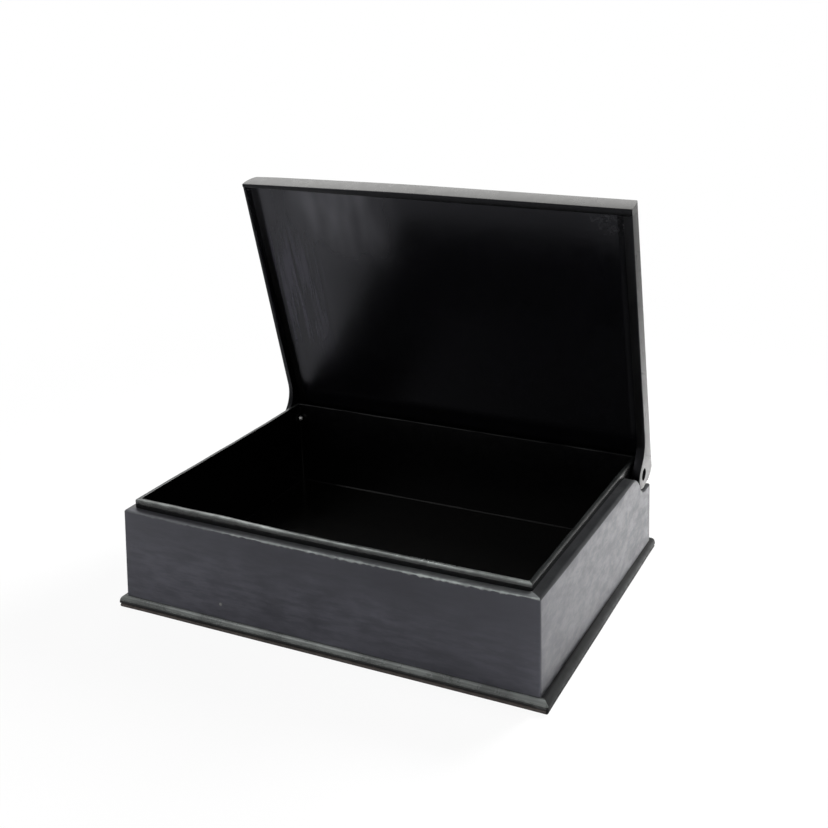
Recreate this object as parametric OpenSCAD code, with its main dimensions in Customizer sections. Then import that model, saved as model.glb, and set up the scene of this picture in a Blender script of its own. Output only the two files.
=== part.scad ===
// A low rectangular box of blackened metal with a tray lid that turns on two riveted pins.
// Millimetres. X runs across the front, Y from front to back, Z up.
// The origin is the centre of the underside. The lid is drawn open, as it stands at rest.

/* [Body] */
// Width of the body across its shoulder
body_w = 120; // [100:1:160]
// Depth of the body across its shoulder
body_d = 89; // [76:1:120]
// Height of the walls from the base plate to the shoulder
wall_h = 24.8; // [18:0.2:45]
// How far the foot of a wall stands out beyond its shoulder
wall_draft = 0.55; // [0.2:0.05:1.5]
// Thickness of the front wall at its shoulder
front_wall_t = 2.6; // [1.8:0.1:3.4]
// Thickness of the left wall at its shoulder
left_wall_t = 2.2; // [2:0.1:4]
// Thickness of the right wall at its shoulder
right_wall_t = 3.1; // [2:0.1:4]
// Thickness of the base plate
base_t = 4.3; // [3:0.1:6]
// How far the base plate stands out beyond the foot of the walls
base_out = 2.75; // [2.7:0.05:5]
// Radius of the corners of the base plate, seen from above
base_corner = 4; // [3.2:0.1:8]

/* [Liner] */
// Thickness of the liner strips
liner_t = 1.2; // [0.8:0.1:1.6]
// How far the liner rises above the shoulder
liner_rise = 1.9; // [1:0.1:2.4]
// Leg of the solder fillet between the liner and the floor
floor_fillet = 0.8; // [0.4:0.1:1.5]

/* [Hinge] */
// Distance of the hinge axis from the back face of the body
hinge_in = 5.1; // [5:0.1:6.5]
// Depth of the hinge axis below the shoulder
hinge_drop = 2.6; // [2:0.1:3.4]
// Radius of the lug round the hinge axis
lug_r = 4.3; // [3.8:0.1:4.6]
// Radius of the hollow curve in front of the lug
lug_fillet = 8; // [5:0.5:12]
// Diameter of the pin in the lug
pin_d = 3.5; // [2.6:0.1:4]
// Running clearance round the pin, on the radius
pin_clear = 0.06; // [0.03:0.01:0.1]
// Diameter of the pin where it passes the liner
tenon_d = 2; // [1.6:0.1:2.2]
// Diameter of the riveted head inside the box
rivet_d = 2.6; // [2.4:0.1:2.8]
// Height of the riveted head inside the box
rivet_h = 0.7; // [0.4:0.1:1]
// How far the outer end of the pin lies below the lug's face
pin_recess = 0.3; // [0.1:0.1:0.8]
// Room between the lug and the notch in the side wall
notch_clear = 0.4; // [0.3:0.1:0.8]
// Opening of the lid at rest, from closed
open_angle = 74; // [0:0.5:90]

/* [Lid] */
// Height of the lid from its rim to its top
lid_h = 6; // [5.6:0.1:10]
// Thickness of the lid's top plate
lid_top_t = 1.6; // [1.2:0.1:2]
// Thickness of the rolled back edge of the lid
lid_roll_t = 1.6; // [1.2:0.1:1.8]
// Outer radius of the rolled back edge of the lid
lid_roll_r = 5.5; // [4:0.1:5.6]
// How far the lid lies inside the edge of the shoulder
lid_inset = 0.3; // [0.1:0.1:0.5]
// Room between the lid's walls and the liner
lid_clear = 0.3; // [0.2:0.05:0.5]
// Gap between the shoulder and the closed lid
lid_gap = 0.2; // [0.1:0.05:0.4]
// Rounding of the top edge of the lid at its left end
lid_round_left = 3.2; // [1:0.1:3.6]
// Rounding of the top edge of the lid at its right end
lid_round_right = 1.6; // [1:0.1:3.6]
// Rounding of the top edge of the lid at its front
lid_round_front = 0.8; // [0.4:0.1:2]
// Radius of the solder fillets inside the lid
lid_fillet = 2; // [1:0.1:2.4]

/* [Inlay] */
// Depth of the silver below the face of the lid
inlay_depth = 0.4; // [0.3:0.05:0.6]
// How far the silver stands proud of the face
inlay_proud = 0.05; // [0.02:0.01:0.1]
// Plain margin round the inlaid field
inlay_margin = 2.6; // [2:0.1:6]
// Width of the outer border line
outer_line_w = 1; // [0.6:0.1:1.6]
// Width of the inner border line
inner_line_w = 0.7; // [0.5:0.1:1.2]
// Distance between the two border lines
border_gap = 6.4; // [5:0.1:9]
// Width of the silver stems and rings
stem_w = 0.5; // [0.4:0.05:0.7]
// Least black gap between two pieces of silver
inlay_gap = 0.9; // [0.6:0.1:1.4]
// Length of one bend of the creeper's stem
creeper_bend = 8.2; // [7:0.1:12]
// How far the creeper's stem swings to each side
creeper_swing = 1.4; // [1:0.1:1.6]
// Length of a petal of the creeper's flowers
flower_petal = 1.7; // [1.2:0.1:1.8]
// Width of a petal of the creeper's flowers
flower_petal_w = 0.9; // [0.6:0.1:1.1]
// Length of a leaf on the creeper's stem
stem_leaf = 2.2; // [1.4:0.1:2.4]
// Width of a leaf on the creeper's stem
stem_leaf_w = 0.9; // [0.6:0.1:1.1]
// Length of the longest leaf in a corner spray
spray_leaf = 12; // [8:0.5:15]
// Width of a leaf in a corner spray
spray_leaf_w = 2.4; // [1.6:0.1:3]
// Radius of the ring of the medallion
medallion_r = 13; // [11:0.5:16]
// Radius of the medallion's heart
heart_r = 2.6; // [2:0.1:4]
// Width of a petal in the medallion
medallion_petal_w = 3.1; // [2:0.1:3.6]
// Length of a leaf in the crown round the medallion
crown_leaf = 4.6; // [3:0.1:6]
// Width of a leaf in the crown round the medallion
crown_leaf_w = 2.2; // [1.2:0.1:3]
// Number of petals in the medallion
medallion_petals = 12; // [8:2:12]

/* [Hidden] */
$fn = 96;

BLACK_METAL = [0.11, 0.11, 0.12];
DARK_METAL = [0.07, 0.07, 0.075];
SOLDER = [0.3, 0.3, 0.3];
SILVER = [0.78, 0.78, 0.75];

// A cut that runs clear past the solid it cuts
past = 2;

// Base plate, shoulder and cavity
base_w = body_w + 2 * (wall_draft + base_out);
base_d = body_d + 2 * (wall_draft + base_out);
shoulder_z = base_t + wall_h;
rim_z = shoulder_z + liner_rise;
front_y = -body_d / 2;
back_y = body_d / 2;

// Hinge axis and the reach of the lug round it
hinge_y = back_y - hinge_in;
hinge_z = shoulder_z - hinge_drop;
notch_r = lug_r + notch_clear;
notch_z = hinge_z - notch_r;

// Outside of the liner; sx is -1 on the left and 1 on the right, as everywhere below
function liner_x(sx) = body_w / 2 - (sx < 0 ? left_wall_t : right_wall_t);
liner_front_y = front_y + front_wall_t;
liner_back_y = hinge_y + lug_r - lid_roll_t - lid_clear;

// Lid in its closed place
lid_x = body_w / 2 - lid_inset;
lid_front_y = front_y + lid_inset;
lid_back_y = hinge_y + lug_r;
lid_rim_z = shoulder_z + lid_gap;
lid_top_z = lid_rim_z + lid_h;
lid_under_z = lid_top_z - lid_top_t;
lid_roll_y = lid_back_y - lid_roll_r;
lid_front_in_y = liner_front_y - lid_clear;
function cheek_in_x(sx) = liner_x(sx) + lid_clear;

// Inlaid field on the lid's face: half sizes of the outer border and its middle in Y
field_x = lid_x - max(lid_round_left, lid_round_right) - inlay_margin;
field_front = lid_front_y + lid_round_front + inlay_margin;
field_back = lid_roll_y - inlay_margin;
field_y = (field_back - field_front) / 2;
field_mid = (field_back + field_front) / 2;
inner_x = field_x - outer_line_w - border_gap;
inner_y = field_y - outer_line_w - border_gap;
creeper_x = field_x - outer_line_w - border_gap / 2;
creeper_y = field_y - outer_line_w - border_gap / 2;

// Room left for the flower at each corner of the creeper, and the lean of the leaves on its stem
creeper_corner = flower_petal + inlay_gap + stem_leaf;
leaf_lean = 38;

// Leaf lengths of a corner spray as shares of the longest, and the angle between leaves
spray_shares = [0.55, 0.8, 1, 0.8, 0.55];
spray_spread = 22;

// Draws a Y-Z outline and carries it along X
module along_x(x0, x1) {
  translate([x0, 0, 0]) rotate([90, 0, 90]) linear_extrude(x1 - x0) children();
}

// Draws an X-Z outline and carries it along Y
module along_y(y0, y1) {
  translate([0, y1, 0]) rotate([90, 0, 0]) linear_extrude(y1 - y0) children();
}

// Draws an X-Y outline and carries it up Z
module along_z(z0, z1) {
  translate([0, 0, z0]) linear_extrude(z1 - z0) children();
}

// Turns the closed lid about the hinge axis to where it stands at rest
module opened() {
  translate([0, hinge_y, hinge_z])
    rotate([-open_angle, 0, 0])
      translate([0, -hinge_y, -hinge_z]) children();
}

// Section of the base plate's edge from u0 out to its half-round edge at u1
module edge_section(u0, u1) {
  translate([u0, 0]) square([u1 - u0 - base_t / 2, base_t]);
  translate([u1 - base_t / 2, base_t / 2]) intersection() {
    circle(d = base_t);
    translate([0, -base_t]) square(2 * base_t);
  }
}

// Section of the body's outside, wider at the foot
module body_section(span) {
  polygon([
    [-span / 2 - wall_draft, base_t], [span / 2 + wall_draft, base_t],
    [span / 2, shoulder_z], [-span / 2, shoulder_z]]);
}

// Outside of the body, cut to the plan of one wall
module wall(plan) {
  intersection() {
    along_x(-body_w, body_w) body_section(body_d);
    along_y(-body_d, body_d) body_section(body_w);
    along_z(0, shoulder_z + past) polygon(plan);
  }
}

// A corner of the cavity that the liner fills, and the mitre line carried out past the body's corner
function inner_corner(sx, y) = [sx * liner_x(sx), y];
function outer_corner(sx, y, sy) =
  let (inner = inner_corner(sx, y), corner = [sx * body_w / 2, sy * body_d / 2])
  inner + (corner - inner) * 2;

// Plan of the front wall, sy = -1, or of the back wall, sy = 1
function end_plan(y, sy) = [
  inner_corner(-1, y), outer_corner(-1, y, sy), outer_corner(1, y, sy), inner_corner(1, y)];

// Plan of the left wall, sx = -1, or of the right wall, sx = 1
function side_plan(sx) = [
  inner_corner(sx, liner_front_y), outer_corner(sx, liner_front_y, -1),
  outer_corner(sx, liner_back_y, 1), inner_corner(sx, liner_back_y)];

// Distance from the hinge axis to the centre of the hollow curve in front of a lug
function curve_reach(r, f, drop) = sqrt(pow(r + f, 2) - pow(f - drop, 2));

// A lug about the hinge axis, hanging from a line that lies drop above the axis, with its hollow curve
module tongue(r, f, drop) {
  reach = curve_reach(r, f, drop);
  circle(r);
  square([r, drop]);
  difference() {
    polygon([[-reach, drop], [0, drop], [0, 0], [-reach, drop - f]]);
    translate([-reach, drop - f]) circle(f);
  }
}

// Room in a side wall for the lug, open to the rear
module notch() {
  reach = curve_reach(notch_r, lug_fillet - notch_clear, hinge_drop);
  translate([hinge_y, hinge_z]) {
    tongue(notch_r, lug_fillet - notch_clear, hinge_drop);
    translate([-reach, hinge_drop]) square([reach, past]);
    translate([0, -notch_r]) square([body_d, notch_r + hinge_drop + past]);
  }
}

module side_wall(sx) {
  difference() {
    wall(side_plan(sx));
    along_x(-body_w, body_w) notch();
  }
}

// The corner that a rounding of radius r takes off, with the corner at the origin
module rounding(r) {
  translate([-r, -r]) difference() {
    square(r + past);
    circle(r);
  }
}

// Outline of the lid from the side, grown inwards by t at its top and back
module lid_side_section(t) {
  top = lid_top_z - t;
  back = lid_back_y - t;
  difference() {
    translate([lid_front_y, lid_rim_z]) square([back - lid_front_y, top - lid_rim_z]);
    translate([back, top]) rounding(lid_roll_r - t);
  }
}

// The outside of the lid
module lid_outside() {
  intersection() {
    along_x(-lid_x, lid_x) difference() {
      lid_side_section(0);
      translate([lid_front_y, lid_top_z]) mirror([1, 0]) rounding(lid_round_front);
    }
    along_y(lid_front_y - past, lid_back_y + past) difference() {
      translate([-lid_x, lid_rim_z]) square([2 * lid_x, lid_h]);
      translate([lid_x, lid_top_z]) rounding(lid_round_right);
      translate([-lid_x, lid_top_z]) mirror([1, 0]) rounding(lid_round_left);
    }
  }
}

// A side wall of the lid with its lug and bore
module cheek(sx) {
  near = sx > 0 ? cheek_in_x(sx) : -lid_x;
  far = sx > 0 ? lid_x : -cheek_in_x(sx);
  difference() {
    union() {
      intersection() {
        lid_outside();
        along_x(near, far) intersection() {
          translate([lid_front_in_y, lid_rim_z]) square([body_d, lid_h - lid_top_t]);
          lid_side_section(lid_roll_t);
        }
      }
      along_x(near, far) translate([hinge_y, hinge_z])
        tongue(lug_r, lug_fillet, lid_rim_z - hinge_z);
    }
    along_x(-body_w, body_w) translate([hinge_y, hinge_z]) circle(pin_d / 2 + pin_clear);
  }
}

// One pin as a turned piece: shank in the lug, tenon through the liner, riveted head inside
module hinge_pin(sx) {
  shank_x = liner_x(sx);
  head_x = shank_x - liner_t;
  ball_r = (pow(rivet_d / 2, 2) + pow(rivet_h, 2)) / (2 * rivet_h);
  translate([0, hinge_y, hinge_z]) rotate([0, sx * 90, 0]) rotate_extrude() {
    translate([0, shank_x]) square([pin_d / 2, lid_x - pin_recess - shank_x]);
    translate([0, head_x]) square([tenon_d / 2, liner_t]);
    intersection() {
      translate([0, head_x - rivet_h]) square([rivet_d / 2, rivet_h]);
      translate([0, head_x - rivet_h + ball_r]) circle(ball_r);
    }
  }
}

module liner_strip(x0, x1, y0, y1) {
  translate([x0, y0, base_t]) cube([x1 - x0, y1 - y0, rim_z - base_t]);
}

module liner_side(sx) {
  x0 = sx > 0 ? liner_x(sx) - liner_t : -liner_x(sx);
  difference() {
    liner_strip(x0, x0 + liner_t, liner_front_y + liner_t, liner_back_y - liner_t);
    along_x(-body_w, body_w) translate([hinge_y, hinge_z]) circle(d = tenon_d);
  }
}

// A rectangular frame seen from above, w wide inside the half sizes hx and hy
module frame(hx, hy, w) {
  difference() {
    square([2 * hx, 2 * hy], center = true);
    square([2 * (hx - w), 2 * (hy - w)], center = true);
  }
}

// A pointed petal from the origin along +Y
module petal(len, wid) {
  r = (len * len + wid * wid) / (4 * wid);
  translate([0, len / 2]) intersection() {
    translate([r - wid / 2, 0]) circle(r);
    translate([wid / 2 - r, 0]) circle(r);
  }
}

// A four-petalled flower with a round heart
module flower() {
  circle(flower_petal_w / 2);
  for (a = [45:90:315]) rotate(a) petal(flower_petal, flower_petal_w);
}

// One bend of a stem over a chord along X from the origin, bowed to +Y
module stem_bend(chord) {
  r = (chord * chord / 4 + creeper_swing * creeper_swing) / (2 * creeper_swing);
  translate([chord / 2, 0]) intersection() {
    translate([0, creeper_swing - r]) difference() {
      circle(r + stem_w / 2);
      circle(r - stem_w / 2);
    }
    translate([-chord, 0]) square([2 * chord, r]);
  }
}

// One side of the creeper: a winding stem with a leaf pair at each turn and a flower in each bend
module creeper_row(half) {
  bends = 2 * round(half / creeper_bend) - 1;
  start = half - creeper_corner;
  chord = 2 * start / bends;
  for (i = [0:bends - 1]) translate([-start + i * chord, 0]) mirror([0, i % 2]) {
    stem_bend(chord);
    translate([chord / 2, -creeper_swing]) flower();
  }
  for (i = [0:bends]) translate([-start + i * chord, 0]) {
    circle(stem_w);
    for (a = [0, 180]) rotate(a + (i % 2 == 0 ? leaf_lean : -leaf_lean)) petal(stem_leaf, stem_leaf_w);
  }
}

module creeper_plan() {
  for (s = [0, 180]) rotate(s) {
    translate([0, -creeper_y]) creeper_row(creeper_x);
    translate([creeper_x, 0]) rotate(90) creeper_row(creeper_y);
  }
  for (sx = [-1, 1], sy = [-1, 1]) translate([sx * creeper_x, sy * creeper_y]) flower();
}

// A spray of leaves in each inner corner, the middle one longest
module spray_plan() {
  root = inner_line_w + inlay_gap + spray_leaf_w / 2;
  half_count = (len(spray_shares) - 1) / 2;
  for (sx = [0, 1], sy = [0, 1]) mirror([sx, 0]) mirror([0, sy])
    translate([inner_x - root, inner_y - root]) rotate(135) {
      circle(spray_leaf_w / 2);
      for (i = [0:len(spray_shares) - 1])
        rotate((i - half_count) * spray_spread) petal(spray_leaf * spray_shares[i], spray_leaf_w);
    }
}

// A ringed rosette with a crown of small leaves outside the ring
module medallion_plan() {
  petal_len = medallion_r - stem_w - heart_r - 2 * inlay_gap;
  difference() {
    circle(medallion_r);
    circle(medallion_r - stem_w);
  }
  circle(heart_r);
  for (i = [0:medallion_petals - 1]) rotate(i * 360 / medallion_petals) {
    translate([0, heart_r + inlay_gap]) petal(petal_len, medallion_petal_w);
    translate([0, medallion_r + inlay_gap]) petal(crown_leaf, crown_leaf_w);
  }
}

// A pattern on the lid's face as a sheet of silver let into it
module inlaid() {
  translate([0, field_mid, 0]) along_z(lid_top_z - inlay_depth, lid_top_z + inlay_proud) children();
}

module base_plate() {
  x = base_w / 2 - base_corner;
  y = base_d / 2 - base_corner;
  color(BLACK_METAL) {
    translate([-x, -y, 0]) cube([2 * x, 2 * y, base_t]);
    for (s = [0, 1]) {
      mirror([0, s, 0]) along_x(-x, x) edge_section(y, base_d / 2);
      mirror([s, 0, 0]) along_y(-y, y) edge_section(x, base_w / 2);
    }
    for (sx = [0, 1], sy = [0, 1]) mirror([sx, 0, 0]) mirror([0, sy, 0])
      translate([x, y, 0]) rotate_extrude(angle = 90) edge_section(0, base_corner);
  }
}

module front_wall() {
  color(BLACK_METAL) wall(end_plan(liner_front_y, -1));
}

module back_wall() {
  color(BLACK_METAL) intersection() {
    wall(end_plan(liner_back_y, 1));
    translate([-body_w, -body_d, 0]) cube([2 * body_w, 2 * body_d, notch_z]);
  }
}

module left_wall() {
  color(BLACK_METAL) side_wall(-1);
}

module right_wall() {
  color(BLACK_METAL) side_wall(1);
}

module liner_front() {
  color(DARK_METAL) liner_strip(-liner_x(-1), liner_x(1), liner_front_y, liner_front_y + liner_t);
}

module liner_back() {
  color(DARK_METAL) liner_strip(-liner_x(-1), liner_x(1), liner_back_y - liner_t, liner_back_y);
}

module liner_left() {
  color(DARK_METAL) liner_side(-1);
}

module liner_right() {
  color(DARK_METAL) liner_side(1);
}

// The space between two sloping fillets that rise from the floor to its edges at u0 and u1
module floor_hollow(u0, u1) {
  polygon([
    [u0 + floor_fillet + past, base_t - past], [u1 - floor_fillet - past, base_t - past],
    [u1 + past, base_t + floor_fillet + past], [u0 - past, base_t + floor_fillet + past]]);
}

module floor_solder() {
  left = liner_t - liner_x(-1);
  right = liner_x(1) - liner_t;
  front = liner_front_y + liner_t;
  back = liner_back_y - liner_t;
  color(SOLDER) difference() {
    translate([left, front, base_t]) cube([right - left, back - front, floor_fillet]);
    intersection() {
      along_y(front - past, back + past) floor_hollow(left, right);
      along_x(left - past, right + past) floor_hollow(front, back);
    }
  }
}

module hinge_pin_left() {
  color(DARK_METAL) hinge_pin(-1);
}

module hinge_pin_right() {
  color(DARK_METAL) hinge_pin(1);
}

module lid_top() {
  color(BLACK_METAL) opened() difference() {
    intersection() {
      lid_outside();
      translate([-body_w, -body_d, lid_under_z]) cube([2 * body_w, body_d + lid_roll_y, lid_h]);
    }
    inlaid() {
      frame(field_x, field_y, outer_line_w);
      frame(inner_x, inner_y, inner_line_w);
      creeper_plan();
      spray_plan();
      medallion_plan();
    }
  }
}

module lid_front_wall() {
  color(BLACK_METAL) opened() intersection() {
    lid_outside();
    translate([-body_w, -body_d, 0]) cube([2 * body_w, body_d + lid_front_in_y, lid_under_z]);
  }
}

module lid_back_roll() {
  color(BLACK_METAL) opened() intersection() {
    lid_outside();
    along_x(-body_w, body_w) difference() {
      translate([lid_roll_y, lid_rim_z]) square([lid_roll_r, lid_h]);
      lid_side_section(lid_roll_t);
    }
  }
}

module lid_left_cheek() {
  color(BLACK_METAL) opened() cheek(-1);
}

module lid_right_cheek() {
  color(BLACK_METAL) opened() cheek(1);
}

// The space between two solder fillets under the lid's plate; far_fillet is 0 where only one is wanted
module lid_hollow(u0, u1, far_fillet) {
  z = lid_under_z - lid_fillet;
  u_far = u1 - far_fillet * lid_fillet;
  translate([u0 + lid_fillet, z - past]) square([u_far - u0 - lid_fillet, lid_fillet + past]);
  translate([u0, z - past]) square([u1 - u0, past]);
  translate([u0 + lid_fillet, z]) circle(lid_fillet);
  if (far_fillet > 0) translate([u_far, z]) circle(lid_fillet);
}

module lid_solder() {
  left = -cheek_in_x(-1);
  right = cheek_in_x(1);
  color(SOLDER) opened() difference() {
    translate([left, lid_front_in_y, lid_under_z - lid_fillet])
      cube([right - left, lid_roll_y - lid_front_in_y, lid_fillet]);
    intersection() {
      along_y(lid_front_in_y, lid_roll_y) lid_hollow(left, right, 1);
      along_x(left, right) lid_hollow(lid_front_in_y, lid_roll_y + past, 0);
    }
  }
}

module inlay_outer_border() {
  color(SILVER) opened() inlaid() frame(field_x, field_y, outer_line_w);
}

module inlay_inner_border() {
  color(SILVER) opened() inlaid() frame(inner_x, inner_y, inner_line_w);
}

module inlay_creeper() {
  color(SILVER) opened() inlaid() creeper_plan();
}

module inlay_corner_sprays() {
  color(SILVER) opened() inlaid() spray_plan();
}

module inlay_medallion() {
  color(SILVER) opened() inlaid() medallion_plan();
}

base_plate();
front_wall();
back_wall();
left_wall();
right_wall();
liner_front();
liner_back();
liner_left();
liner_right();
floor_solder();
hinge_pin_left();
hinge_pin_right();
lid_top();
lid_front_wall();
lid_back_roll();
lid_left_cheek();
lid_right_cheek();
lid_solder();
inlay_outer_border();
inlay_inner_border();
inlay_creeper();
inlay_corner_sprays();
inlay_medallion();
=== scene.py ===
import math

import bmesh
import bpy
from mathutils import Matrix, Vector, noise


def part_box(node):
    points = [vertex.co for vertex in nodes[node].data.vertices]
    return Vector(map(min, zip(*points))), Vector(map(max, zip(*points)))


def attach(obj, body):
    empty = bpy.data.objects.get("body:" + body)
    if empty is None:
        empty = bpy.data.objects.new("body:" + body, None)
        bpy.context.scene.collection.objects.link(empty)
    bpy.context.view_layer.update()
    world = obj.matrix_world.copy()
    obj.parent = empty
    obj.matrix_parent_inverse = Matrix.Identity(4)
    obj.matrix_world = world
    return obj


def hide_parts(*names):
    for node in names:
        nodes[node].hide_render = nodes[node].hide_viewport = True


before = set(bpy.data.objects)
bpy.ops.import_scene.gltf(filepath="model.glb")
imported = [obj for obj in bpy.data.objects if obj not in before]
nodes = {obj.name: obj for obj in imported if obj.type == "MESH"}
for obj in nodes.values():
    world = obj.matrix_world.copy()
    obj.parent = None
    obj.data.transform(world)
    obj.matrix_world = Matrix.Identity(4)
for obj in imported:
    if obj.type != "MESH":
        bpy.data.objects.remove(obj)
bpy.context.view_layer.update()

# Lengths below are millimetres in the part's own frame
MM = 0.001

# Sizes of the body
BODY_W = 120.0
BODY_D = 89.0
BASE_T = 4.3
WALL_H = 24.8
SHOULDER_Z = BASE_T + WALL_H
DRAFT = 0.55
LEFT_DRAFT = 1.3
LEFT_T = 2.2
RIGHT_T = 3.1
FRONT_T = 2.6
LINER_T = 1.2
LINER_FLARE = 0.25
RIM_H = 1.9
RIM_Z = SHOULDER_Z + RIM_H

# Edge of the base plate: reach of each side and the section of its nose
PLINTH_LEFT = 63.26
PLINTH_RIGHT_FRONT = 62.95
PLINTH_RIGHT_BACK = 61.7
PLINTH_FRONT = 46.6
PLINTH_BACK = 47.78
PLINTH_T = 3.45
PLINTH_CORNER = 0.6
NOSE_Z = 1.35
NOSE_TOP_OUT = 1.9
FOOT_SINK = 0.15
FOOT_Z = PLINTH_T - FOOT_SINK

# Hinge and the notch that its lug turns in
HINGE_Y = 39.4
HINGE_Z = 26.5
NOTCH_R = 4.7
NOTCH_FILLET = 7.6
NOTCH_FILLET_RIGHT = 10.0
NOTCH_DROP = 2.6
NOTCH_Z = HINGE_Z - NOTCH_R
OPEN_ANGLE = 74.0

# Liner outline
LINER_LEFT = LEFT_T - BODY_W / 2
LINER_RIGHT = BODY_W / 2 - RIGHT_T
LINER_FRONT = FRONT_T - BODY_D / 2
LINER_BACK = 41.8

# Hand-worked roundings
WALL_CORNER_R = 0.5
WALL_EDGE_R = 0.6
SIDE_EDGE_R = 0.9
RIM_OUT_R = 0.5
RIM_IN_R = 0.3
RIM_IN_MID = 0.1
RIM_IN_LEAST = 0.02
RIM_IN_VARIES = 0.26
RIM_WORN_DEPTH = 1.0
LINER_CORNER_R = 0.3
LINER_INNER_R = 0.4
LID_EDGE_R = 0.3
ARC_STEPS = 5
ROUND_STEPS = 6

# Lid, closed
LID_X = 59.7
LID_H = 6.0
LID_PLATE_T = 1.6
LID_GAP = 0.2
LID_RIM_Z = SHOULDER_Z + LID_GAP
LID_TOP_Z = LID_RIM_Z + LID_H
LID_UNDER_Z = LID_TOP_Z - LID_PLATE_T
LID_ROUND_LEFT = 3.2
LID_CLEAR = 0.3
LID_FRONT_Y = LID_CLEAR - BODY_D / 2
LUG_R = 4.3
LID_ROLL_R = 5.5
LID_ROLL_Y = HINGE_Y + LUG_R - LID_ROLL_R

# Mesh helpers
SHARP_DEG = 35.0
MERGE = 0.002
FINE_MERGE = 0.0005


def new_object(name, bm):
    """Turn a bmesh in millimetres into an object in metres, smooth but for its sharp edges."""
    bmesh.ops.recalc_face_normals(bm, faces=bm.faces)
    for face in bm.faces:
        face.smooth = True
    for edge in bm.edges:
        if len(edge.link_faces) == 2:
            edge.smooth = edge.calc_face_angle(0.0) < math.radians(SHARP_DEG)
    bm.transform(Matrix.Scale(MM, 4))
    mesh = bpy.data.meshes.new(name)
    bm.to_mesh(mesh)
    bm.free()
    obj = bpy.data.objects.new(name, mesh)
    bpy.context.scene.collection.objects.link(obj)
    return obj


def skin(name, stations, worn, fade=None):
    """Join closed rings into a capped solid; worn is each strip's wear, fade each station's share of it."""
    bm = bmesh.new()
    layer = bm.faces.layers.float.new("worn")
    rings = [[bm.verts.new(p) for p in ring] for ring in stations]
    size = len(rings[0])
    for i in range(len(rings) - 1):
        a = rings[i]
        b = rings[i + 1]
        share = fade[i] if fade else 1.0
        for k in range(size):
            n = (k + 1) % size
            face = bm.faces.new((a[k], b[k], b[n], a[n]))
            face[layer] = worn[k] * share
    bm.faces.new(rings[0])
    bm.faces.new(list(reversed(rings[-1])))
    bmesh.ops.remove_doubles(bm, verts=bm.verts, dist=MERGE)
    return new_object(name, bm)


def put(obj, body, slot, materials, *replaced):
    """Hang a piece on its body, with its finishes, in place of CAD nodes."""
    for material in materials:
        obj.data.materials.append(material)
    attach(obj, body)
    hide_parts(*replaced)
    return obj


def arc_angles(start, end, steps):
    """Angles in degrees from start to end, both included."""
    return [start + (end - start) * i / steps for i in range(steps + 1)]


def unit(deg):
    """Direction in the plane at an angle in degrees."""
    return Vector((math.cos(math.radians(deg)), math.sin(math.radians(deg))))


# Slow unevenness of hand-finished metal
def uneven(p, seed, size, depth):
    """Smooth noise of the given wavelength and depth at a point."""
    q = Vector(p) / size
    return depth * noise.noise(q + Vector((seed, 2.7 * seed, 0.0)))


def bump_at(x, centre, width, height):
    """A smooth hump along a line."""
    return height * math.exp(-((x - centre) / width) ** 2)


def smooth(value, low, high):
    """Smooth step from 0 at low to 1 at high."""
    t = min(max((value - low) / (high - low), 0.0), 1.0)
    return t * t * (3.0 - 2.0 * t)


# Walls
FALL_STEPS = 10
RISE_STEPS = 9


def wall_top(y, fillet):
    """Height and upward normal of a side wall's top edge, which dips into the lug's notch."""
    reach = math.sqrt((NOTCH_R + fillet) ** 2 - (fillet - NOTCH_DROP) ** 2)
    centre_y = HINGE_Y - reach
    centre_z = HINGE_Z + NOTCH_DROP - fillet
    touch_y = HINGE_Y - reach * NOTCH_R / (NOTCH_R + fillet)
    if y <= centre_y:
        return SHOULDER_Z, (0.0, 1.0)
    if y <= touch_y:
        dy = y - centre_y
        dz = math.sqrt(fillet ** 2 - dy ** 2)
        return centre_z + dz, (dy / fillet, dz / fillet)
    if y < HINGE_Y:
        dy = HINGE_Y - y
        dz = math.sqrt(max(NOTCH_R ** 2 - dy ** 2, 0.0))
        return HINGE_Z - dz, (dy / NOTCH_R, dz / NOTCH_R)
    return NOTCH_Z, (0.0, 1.0)


def notch_stations(fillet):
    """Places along a side wall that follow the notch closely."""
    reach = math.sqrt((NOTCH_R + fillet) ** 2 - (fillet - NOTCH_DROP) ** 2)
    centre_y = HINGE_Y - reach
    slope = math.degrees(math.asin((fillet - NOTCH_DROP) / (NOTCH_R + fillet)))
    fall = [centre_y + fillet * math.cos(math.radians(a)) for a in arc_angles(90.0, slope, FALL_STEPS)]
    rise_angles = arc_angles(180.0 + slope, 270.0, RISE_STEPS)
    rise = [HINGE_Y + NOTCH_R * math.cos(math.radians(a)) for a in rise_angles]
    return fall + rise[1:]


def side_x(sx, z):
    """Where the outer face of a side wall stands at a height."""
    lean = (SHOULDER_Z - z) / WALL_H
    return sx * (BODY_W / 2 + lean * (DRAFT if sx > 0 else LEFT_DRAFT))


def end_y(sy, z):
    """Where the outer face of the front or back wall stands at a height."""
    return sy * (BODY_D / 2 + DRAFT * (SHOULDER_Z - z) / WALL_H)


def liner_x(sx, y):
    """Outer face of the side liner; the left one opens a little towards the front."""
    if sx > 0:
        return LINER_RIGHT
    return LINER_LEFT - LINER_FLARE * (BODY_D / 2 - y) / BODY_D


def liner_corner(sx, sy, deg):
    """Outer and inner point of the liner on its corner."""
    direction = unit(deg)
    y = LINER_FRONT if sy < 0 else LINER_BACK
    x = liner_x(sx, y)
    outer = Vector((x - sx * LINER_CORNER_R, y - sy * LINER_CORNER_R)) + direction * LINER_CORNER_R
    reach = LINER_T + LINER_INNER_R
    inner = Vector((x - sx * reach, y - sy * reach)) + direction * LINER_INNER_R
    return outer, inner


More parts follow.
